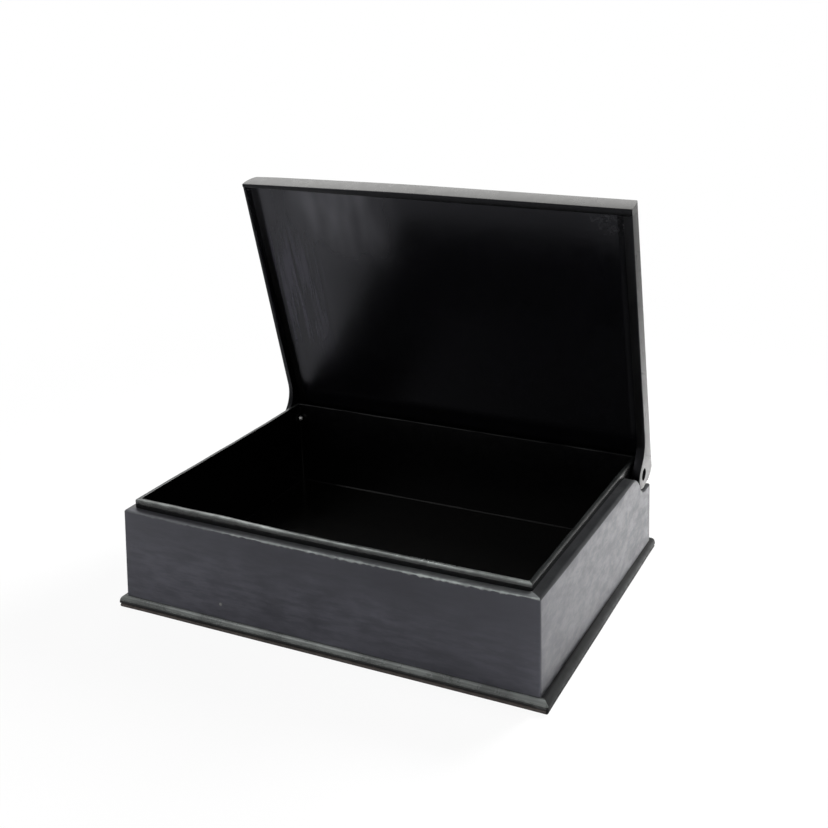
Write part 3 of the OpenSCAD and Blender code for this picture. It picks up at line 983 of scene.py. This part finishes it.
def black_metal(name, deep, film, brush, rough, tint=PLAIN, turn=UPRIGHT, grainy=1.0, shine=0.5,
                specks=False, painted_top_shade=False, painted_light_and_softer_streaks=False, nicked=True):
    """Blackened cast metal: a thin film in clouds and brush marks, pinholes, and edges worn to bare metal; on
    request the film also carries painted light and painted shade.
    """
    n = Nodes(name)
    place = n.mapped(EVEN, turn)
    cloud = n.noise(place, CLOUD_SCALE, 4.0, 0.55)
    marks = n.noise(n.mapped(brush, turn), MARK_SCALE, 4.0, 0.65)
    grain = n.noise(place, GRAIN_SCALE, 2.0, 0.5)
    streaky = n.ramp(marks, *MID, 0.48 if painted_light_and_softer_streaks else 0.35, 1.0)
    hazy = n.times(n.ramp(cloud, *MID, 0.55, 1.0), streaky)
    # Painted light and shade: the film is paler towards the left end and the foot and darker near the top,
    # standing in for the lit floor mirrored along the wall.
    if painted_light_and_softer_streaks:
        axes = n.axes(place)
        hazy = n.times(hazy, n.ramp(axes["X"], -0.06, 0.06, 1.0, 0.5))
        hazy = n.times(hazy, n.ramp(axes["Z"], 0.012, 0.028, 1.35, 0.4))
    # Painted shade: the film is thinned, in wavering patches, on faces that turn up towards the wall's top
    # edge.
    if painted_top_shade:
        wavy = n.math("ADD", n.upward(), n.ramp(cloud, *MID, -0.25, 0.25))
        hazy = n.times(hazy, n.ramp(wavy, 0.2, 0.75, 1.0, 0.12))
    colour = n.mix(hazy, rgb(*deep), rgb(*film))
    nicks = n.ramp(n.noise(place, NICK_SCALE, 4.0, 0.6), 0.36, 0.6, 0.6, 1.0)
    rubbed = n.ramp(n.noise(place, RUB_SCALE, 2.0, 0.5), 0.36, 0.6, 0.6, 1.0)
    wear = n.times(n.attribute("worn"), rubbed)
    if nicked:
        wear = n.times(wear, nicks)
    colour = n.mix(wear, colour, rgb(*BARE))
    if specks:
        dots = n.ramp(n.voronoi(place, SPECK_SCALE), 0.03, 0.055, 1.0, 0.0)
        rare = n.ramp(n.noise(place, 70.0, 1.0), 0.6, 0.66)
        colour = n.mix(n.times(dots, rare), colour, rgb(0.16, 0.16, 0.15))
    n.shade("Base Color", colour)
    n.shade("Metallic", wear)
    uneven_rough = n.ramp(marks, *MID, rough - 0.05 * grainy, rough + 0.05 * grainy)
    n.shade("Roughness", n.math("ADD", uneven_rough, n.times(wear, 0.15)))
    coarse = n.bump(marks, 0.6 * grainy, 0.000016)
    n.shade("Normal", n.bump(grain, 0.4 * grainy, 0.000006, coarse))
    n.shade("Specular Tint", tint)
    n.shade("Specular IOR Level", shine)
    return n.mat


def lid_place(x, y, z):
    """A point of the closed lid, in millimetres, in the lid's own texture coordinates."""
    turn = Matrix.Rotation(math.radians(OPEN_ANGLE), 4, "X")
    return tuple((turn @ (to_closed().inverted() @ Vector((x, y, z)))) * MM)


def lid_depth(y):
    """How far back a place on the closed lid's inside lies in its texture coordinates."""
    return lid_place(0.0, y, LID_UNDER_Z)[1]


def lid_inner_metal():
    """The lid's smooth black inside: scraper marks along its left wall, a scuffed front right corner, and a
    painted reflection in pale clouds at the upper left.
    """
    n = Nodes("patina_lid_inside")
    place = n.mapped(EVEN, LID_TURN)
    x = n.axes(place)["X"]
    y = n.axes(place)["Y"]
    left = n.ramp(x, -0.05, -0.034, 1.0, 0.0)
    wide = n.ramp(x, -0.052, -0.036, 0.2, 1.0)
    wide = n.times(wide, n.ramp(x, -0.028, -0.008, 1.0, 0.0))
    marks = n.noise(n.mapped((1.0, 0.04, 1.0), LID_TURN), 820.0, 3.0, 0.55)
    fine = n.noise(n.mapped((0.5, 0.5, 1.0), LID_TURN), 500.0, 4.0, 0.6)
    corner = n.add("ShaderNodeVectorMath", operation="DISTANCE")
    n.link(place, corner.inputs[0])
    corner.inputs[1].default_value = lid_place(54.0, -41.0, LID_UNDER_Z)
    near = n.ramp(corner.outputs["Value"], 0.003, 0.015, 1.0, 0.0)
    scuff = n.times(near, n.ramp(n.noise(place, 1100.0, 5.0, 0.75), 0.42, 0.66))
    colour = n.mix(fine, rgb(0.0008, 0.0008, 0.001), rgb(0.002, 0.002, 0.0026))
    # Painted reflection: pale clouds in a band at the upper left of the inside, where the lit floor is
    # mirrored.
    painted_reflection_top = n.ramp(y, lid_depth(-36.0), lid_depth(-10.0), 1.0, 0.0)
    middle = n.ramp(y, lid_depth(2.0), lid_depth(26.0), 1.0, 0.0)
    middle = n.times(middle, n.ramp(y, lid_depth(-36.0), lid_depth(-14.0)))
    left = n.times(left, middle)
    clouds = n.ramp(n.noise(n.mapped((1.0, 0.35, 1.0), LID_TURN), 85.0, 2.0, 0.45), 0.2, 0.62)
    clouds = n.times(clouds, n.times(wide, painted_reflection_top))
    colour = n.mix(clouds, colour, rgb(0.055, 0.055, 0.061))
    streaks = n.times(left, n.ramp(marks, 0.43, 0.6))
    colour = n.mix(streaks, colour, rgb(0.02, 0.019, 0.026))
    colour = n.mix(scuff, colour, rgb(0.014, 0.014, 0.015))
    n.shade("Base Color", colour)
    smoothness = n.ramp(fine, *MID, 0.17, 0.19)
    dulled = n.math("ADD", n.times(scuff, 0.12), n.times(streaks, 0.06))
    dulled = n.math("ADD", dulled, n.ramp(y, lid_depth(-28.0), lid_depth(24.0), 0.0, 0.07))
    n.shade("Roughness", n.math("ADD", smoothness, dulled))
    height = n.times(marks, n.math("ADD", n.times(left, 0.9), 0.1))
    n.shade("Normal", n.bump(fine, 0.15, 0.00002, n.bump(height, 0.8, 0.00007)))
    n.shade("Specular Tint", COOL)
    n.shade("Specular IOR Level", 0.32)
    return n.mat


def silver_metal():
    """Soft silver, burnished flush, with faint tool marks and tarnish in patches."""
    n = Nodes("silver_inlay")
    cloud = n.noise(n.mapped(EVEN, LID_TURN), 160.0, 4.0, 0.6)
    fine = n.noise(n.mapped((1.0, 0.25, 1.0), LID_TURN), 900.0, 2.0, 0.5)
    colour = n.mix(n.ramp(cloud, 0.3, 0.72), rgb(0.42, 0.4, 0.36), rgb(0.8, 0.79, 0.76))
    n.shade("Base Color", colour)
    n.shade("Metallic", 1.0)
    n.shade("Roughness", n.ramp(cloud, 0.25, 0.75, 0.42, 0.24))
    n.shade("Normal", n.bump(fine, 0.2, 0.00005))
    return n.mat


def pin_metal(name, low, high, metallic, shine):
    """Pin metal: bright where it is hammered inside, black in the dished end, where the black is painted
    shade.
    """
    n = Nodes(name)
    cloud = n.noise(n.mapped(EVEN), 500.0, 3.0, 0.6)
    colour = n.mix(n.ramp(cloud, *MID), rgb(low, low, low), rgb(high, high, 0.95 * high))
    n.shade("Base Color", colour)
    n.shade("Metallic", metallic)
    n.shade("Specular IOR Level", shine)
    n.shade("Roughness", n.ramp(cloud, *MID, 0.35, 0.55))
    n.shade("Normal", n.bump(cloud, 0.2, 0.0001))
    return n.mat


SHORT_X = (0.16, 1.0, 0.8)
SHORT_Y = (0.6, 0.22, 0.5)
ALONG_Y = (1.0, 0.07, 1.0)
MOTTLED = (0.6, 0.45, 0.6)
# Copies of one patina for the walls: the front's paler film is painted light on a wall turned from the lamps;
# the back and left copies' darker film is painted shade on walls the lamps light strongly.
front_patina_painted_light = black_metal("patina_front_painted_light", (0.006, 0.006, 0.008), (0.06, 0.06, 0.072), SHORT_X, 0.46, COOL,
                         shine=0.7, specks=True, painted_light_and_softer_streaks=True)
back_patina_painted_shade = black_metal("patina_back_painted_shade", (0.006, 0.006, 0.006), (0.032, 0.032, 0.034), SHORT_X, 0.42, shine=0.6)
left_patina_painted_shade = black_metal("patina_left_painted_shade", (0.006, 0.006, 0.006), (0.034, 0.034, 0.036), SHORT_Y, 0.42, shine=0.6)
body_side = black_metal("patina_side", (0.008, 0.008, 0.009), (0.05, 0.05, 0.053), SHORT_Y, 0.4, COOL,
                        grainy=1.8, shine=0.61, painted_top_shade=True)
# The right wall's shoulder takes a darker copy of the patina: painted shade on the top faces.
shoulder_painted_shade = black_metal("patina_shoulder_painted_shade", (0.003, 0.003, 0.0035), (0.012, 0.012, 0.013), SHORT_Y, 0.42, COOL,
                       grainy=1.6, shine=0.2)
base_metal = black_metal("patina_base", (0.003, 0.003, 0.003), (0.012, 0.012, 0.012), MOTTLED, 0.24,
                         grainy=0.4, shine=0.35, nicked=False)
# A darker, duller copy of the base's patina for the plinth's right side: painted shade.
base_side_painted_shade = black_metal("patina_base_side", (0.002, 0.002, 0.002), (0.008, 0.008, 0.0085), MOTTLED, 0.42,
                        shine=0.09, grainy=1.6)
foot_metal = black_metal("patina_foot", (0.016, 0.013, 0.012), (0.08, 0.066, 0.06), MOTTLED, 0.34, WARM)
liner_metal = black_metal("patina_liner", (0.0006, 0.0006, 0.0007), (0.002, 0.002, 0.0022), MOTTLED, 0.17,
                          grainy=0.3)
liner_dull = black_metal("patina_liner_dull", (0.0006, 0.0006, 0.0007), (0.002, 0.002, 0.0022), MOTTLED, 0.24,
                         grainy=0.3, shine=0.28)
floor_metal = black_metal("patina_floor", (0.0012, 0.0012, 0.0012), (0.005, 0.0048, 0.0042), MOTTLED, 0.22,
                          grainy=0.3)
lid_outer = black_metal("patina_lid", (0.004, 0.004, 0.004), (0.016, 0.016, 0.015), SHORT_Y, 0.3, WARM,
                        LID_TURN, 0.7)
solder_metal = black_metal("patina_solder", (0.001, 0.001, 0.001), (0.012, 0.012, 0.012), MOTTLED, 0.3,
                           shine=0.07)
# A darker copy of the lid's patina: painted shade for the rim, the lugs' edges and the fillet's left end.
lid_rim_painted_shade = black_metal("patina_lid_rim", (0.001, 0.001, 0.001), (0.004, 0.004, 0.004), ALONG_Y, 0.3, COOL,
                      LID_TURN, 0.5, 0.15)
lid_inner = lid_inner_metal()
silver = silver_metal()
pin_bright = pin_metal("pin_hammered", 0.5, 0.85, 1.0, 0.5)
# Black with no specular for the dished end: painted shade in the dish.
pin_end_painted_shade = pin_metal("pin_black_painted_shade", 0.003, 0.01, 0.0, 0.0)

# The body's pieces
LONG_STEPS = 48
SHORT_STEPS = 36
put(base_piece(), "box", "black_alloy", (base_metal, floor_metal, foot_metal, base_side_painted_shade), "base_plate")
put(end_wall("box_front_wall", -1, SHOULDER_Z, FRONT_WORN), "box", "black_alloy", (front_patina_painted_light,), "front_wall")
put(end_wall("box_back_wall", 1, NOTCH_Z, SIDE_WORN), "box", "black_alloy", (back_patina_painted_shade,), "back_wall")
put(side_wall("box_left_wall", -1), "box", "black_alloy", (left_patina_painted_shade, left_patina_painted_shade), "left_wall")
put(side_wall("box_right_wall", 1), "box", "black_alloy", (body_side, shoulder_painted_shade), "right_wall")
put(liner_strip("rim_front", 270.0, (-1, -1), (1, -1), LONG_STEPS, 0.8),
    "box", "liner_alloy", (liner_metal,), "liner_front")
put(liner_strip("rim_right", 0.0, (1, -1), (1, 1), SHORT_STEPS, 0.05),
    "box", "liner_alloy", (liner_dull,), "liner_right")
put(liner_strip("rim_back", 90.0, (1, 1), (-1, 1), LONG_STEPS, 0.03),
    "box", "liner_alloy", (liner_dull,), "liner_back")
put(liner_strip("rim_left", 180.0, (-1, 1), (-1, -1), SHORT_STEPS, 0.3),
    "box", "liner_alloy", (liner_metal,), "liner_left")
put(floor_bead(), "box", "solder", (solder_metal,), "floor_solder")
for sx, side in ((-1, "left"), (1, "right")):
    pin_node = "hinge_pin_" + side
    put(pin_piece("pin_" + side, pin_node, sx), "box", "pin_metal", (pin_bright, pin_end_painted_shade), pin_node)

# The lid's pieces
lid_finish = (lid_outer, lid_inner, lid_rim_painted_shade)
front_eased = ((front_edge, LID_EDGE_R, 0.0),)
left_eased = ((cheek_outer, 0.25, 0.3), (cheek_inner, 0.35, 0.0))
right_eased = ((cheek_outer, LID_EDGE_R, 0.0), (cheek_inner, 0.6, 0.0))
for name, node, eases in (
        ("lid_plate", "lid_top", ()),
        ("lid_roll", "lid_back_roll", ()),
        ("lid_front_edge", "lid_front_wall", front_eased),
        ("lid_cheek_left", "lid_left_cheek", left_eased),
        ("lid_cheek_right", "lid_right_cheek", right_eased)):
    put(eased(name, node, eases), "lid", "black_alloy", lid_finish, node)
put(lid_fillet(), "lid", "solder", (lid_inner, lid_rim_painted_shade), "lid_solder")


def dress(node, material):
    """Give a CAD node that keeps its shape its finish."""
    mesh = nodes[node].data
    mesh.materials.clear()
    mesh.materials.append(material)


for inlay in ("outer_border", "inner_border", "creeper", "corner_sprays", "medallion"):
    dress("inlay_" + inlay, silver)


# Stage: a pale floor that fades into the white surroundings, sooner to the eye than in reflections
SEEN_NEAR = 110.0
SEEN_FAR = 300.0
SEEN_LIFT = 0.93
FLOOR_NEAR = 380.0
FLOOR_FAR = 650.0
FRONT_FROM = -120.0
FRONT_TO = -300.0
DIM_ROOM = 0.5
FLOOR_HALF = 3000.0
FLOOR_STEPS = 12


def pale_floor():
    """A plain pale sheet; towards the front its reflection is left to the lamps, as in a dim room."""
    bm = bmesh.new()
    lines = [-FLOOR_HALF + 2 * FLOOR_HALF * i / FLOOR_STEPS for i in range(FLOOR_STEPS + 1)]
    grid = [[bm.verts.new((x, y, 0.0)) for y in lines] for x in lines]
    for i in range(FLOOR_STEPS):
        for j in range(FLOOR_STEPS):
            bm.faces.new((grid[i][j], grid[i + 1][j], grid[i + 1][j + 1], grid[i][j + 1]))
    floor = new_object("stage_floor", bm)
    n = Nodes("stage_paper")
    fibre = n.noise(n.mapped(EVEN), 300.0, 3.0)
    n.shade("Base Color", n.mix(fibre, rgb(0.86, 0.86, 0.86), rgb(0.88, 0.88, 0.88)))
    n.shade("Roughness", 0.9)
    n.shade("Specular IOR Level", 0.0)
    away = n.add("ShaderNodeVectorMath", operation="LENGTH")
    n.link(n.coords, away.inputs[0])
    far = n.ramp(away.outputs["Value"], FLOOR_NEAR * MM, FLOOR_FAR * MM)
    back = n.ramp(n.axes(n.coords)["Y"], FRONT_TO * MM, FRONT_FROM * MM, DIM_ROOM, 1.0)
    path = n.add("ShaderNodeLightPath")
    direct = n.math("MAXIMUM", path.outputs["Is Camera Ray"], path.outputs["Is Transmission Ray"])
    lifted = n.ramp(away.outputs["Value"], SEEN_NEAR * MM, SEEN_FAR * MM, SEEN_LIFT, 1.0)
    mirrored = n.times(path.outputs["Is Glossy Ray"], n.times(far, back))
    share = n.math("MAXIMUM", n.times(direct, lifted), mirrored)
    white = n.add("ShaderNodeEmission")
    white.inputs["Color"].default_value = rgb(1.0, 1.0, 1.0)
    white.inputs["Strength"].default_value = 1.0
    mixed = n.add("ShaderNodeMixShader")
    n.link(share, mixed.inputs["Fac"])
    n.link(n.shader.outputs["BSDF"], mixed.inputs[1])
    n.link(white.outputs[0], mixed.inputs[2])
    n.link(mixed.outputs[0], n.tree.nodes["Material Output"].inputs["Surface"])
    floor.data.materials.append(n.mat)


pale_floor()

# Light: white surroundings, dim on the viewer's side, softboxes behind and in front, a key from behind
AMBIENT = 0.09
ROOM_FROM = -0.55
ROOM_TO = -0.1


def surroundings():
    """White for what the camera sees; reflections see it too, but for the dim room in front."""
    world = bpy.data.worlds.new("studio")
    bpy.context.scene.world = world
    world.use_nodes = True
    tree = world.node_tree
    tree.nodes.clear()

    def math_node(operation, a, b):
        node = tree.nodes.new("ShaderNodeMath")
        node.operation = operation
        for socket, value in zip(node.inputs, (a, b)):
            if isinstance(value, bpy.types.NodeSocket):
                tree.links.new(value, socket)
            else:
                socket.default_value = value
        return node.outputs[0]

    out = tree.nodes.new("ShaderNodeOutputWorld")
    sky = tree.nodes.new("ShaderNodeBackground")
    sky.inputs["Color"].default_value = rgb(1.0, 1.0, 1.0)
    path = tree.nodes.new("ShaderNodeLightPath")
    coords = tree.nodes.new("ShaderNodeTexCoord")
    split = tree.nodes.new("ShaderNodeSeparateXYZ")
    tree.links.new(coords.outputs["Generated"], split.inputs[0])
    room = tree.nodes.new("ShaderNodeMapRange")
    room.interpolation_type = "SMOOTHSTEP"
    tree.links.new(split.outputs["Y"], room.inputs["Value"])
    room.inputs["From Min"].default_value = ROOM_FROM
    room.inputs["From Max"].default_value = ROOM_TO
    room.inputs["To Min"].default_value = DIM_ROOM
    room.inputs["To Max"].default_value = 1.0
    direct = math_node("MAXIMUM", path.outputs["Is Camera Ray"], path.outputs["Is Transmission Ray"])
    mirrored = math_node("MULTIPLY", path.outputs["Is Glossy Ray"], room.outputs["Result"])
    rest = math_node("MULTIPLY", math_node("SUBTRACT", 1.0, path.outputs["Is Glossy Ray"]), AMBIENT)
    tree.links.new(math_node("MAXIMUM", math_node("MAXIMUM", direct, mirrored), rest), sky.inputs["Strength"])
    tree.links.new(sky.outputs[0], out.inputs["Surface"])


surroundings()


def lamp_object(name, lamp, place, target, glints):
    """Put a lamp at a place, turned to a target, both in millimetres."""
    obj = bpy.data.objects.new(name, lamp)
    bpy.context.scene.collection.objects.link(obj)
    obj.location = Vector(place) * MM
    aim = Vector(target) - Vector(place)
    obj.rotation_euler = aim.to_track_quat("-Z", "Y").to_euler()
    obj.visible_camera = False
    obj.visible_glossy = glints


def softbox(name, place, target, wide, long, watts, glints=True):
    """A rectangular area lamp; without glints it lights surfaces but isn't mirrored in them."""
    lamp = bpy.data.lights.new(name, "AREA")
    lamp.shape = "RECTANGLE"
    lamp.size = wide * MM
    lamp.size_y = long * MM
    lamp.energy = watts
    lamp_object(name, lamp, place, target, glints)


def soft_spot(name, place, target, wide_deg, watts, radius):
    """A large spot lamp that lights surfaces but isn't mirrored in them."""
    lamp = bpy.data.lights.new(name, "SPOT")
    lamp.energy = watts
    lamp.spot_size = math.radians(wide_deg)
    lamp.spot_blend = 0.7
    lamp.shadow_soft_size = radius * MM
    lamp_object(name, lamp, place, target, False)


softbox("back_light", (-430.0, 680.0, 790.0), (0.0, 12.0, 117.0), 900.0, 500.0, 3.6)
softbox("top_fill", (-400.0, -350.0, 650.0), (0.0, 0.0, 20.0), 240.0, 240.0, 0.55)
softbox("front_light", (-260.0, -900.0, 200.0), (0.0, -45.0, 15.0), 700.0, 300.0, 4.4, glints=False)
soft_spot("key", (286.0, 759.0, 748.0), (0.0, -20.0, 0.0), 34.0, 85.0, 170.0)
soft_spot("floor_right", (102.0, 74.0, 450.0), (102.0, 74.0, 0.0), 36.0, 7.0, 60.0)

# Camera, fitted to the photograph's viewing angle and framing
FRAME_PX = 828.0
FOCAL_PX = 1238.49
CENTRE_X_PX = 434.0
CENTRE_Y_PX = 356.0
CAMERA_AT = (149.34, -282.02, 170.88)
YAW = math.radians(25.92)
PITCH = math.radians(18.10)
ROLL = math.radians(-1.04)


def camera():
    """The camera at the photograph's angle."""
    data = bpy.data.cameras.new("view")
    data.sensor_width = 36.0
    data.sensor_fit = "HORIZONTAL"
    data.lens = FOCAL_PX * data.sensor_width / FRAME_PX
    data.shift_x = (FRAME_PX / 2 - CENTRE_X_PX) / FRAME_PX
    data.shift_y = (CENTRE_Y_PX - FRAME_PX / 2) / FRAME_PX
    data.clip_start = 0.01
    obj = bpy.data.objects.new("view", data)
    bpy.context.scene.collection.objects.link(obj)
    ahead = Vector((-math.sin(YAW) * math.cos(PITCH), math.cos(YAW) * math.cos(PITCH), -math.sin(PITCH)))
    right = Vector((math.cos(YAW), math.sin(YAW), 0.0))
    up = right.cross(ahead)
    side = right * math.cos(ROLL) + up * math.sin(ROLL)
    top = up * math.cos(ROLL) - right * math.sin(ROLL)
    turn = Matrix((side, top, -ahead)).transposed().to_4x4()
    obj.matrix_world = Matrix.Translation(Vector(CAMERA_AT) * MM) @ turn
    bpy.context.scene.camera = obj


camera()
bpy.context.scene.view_settings.view_transform = "Standard"
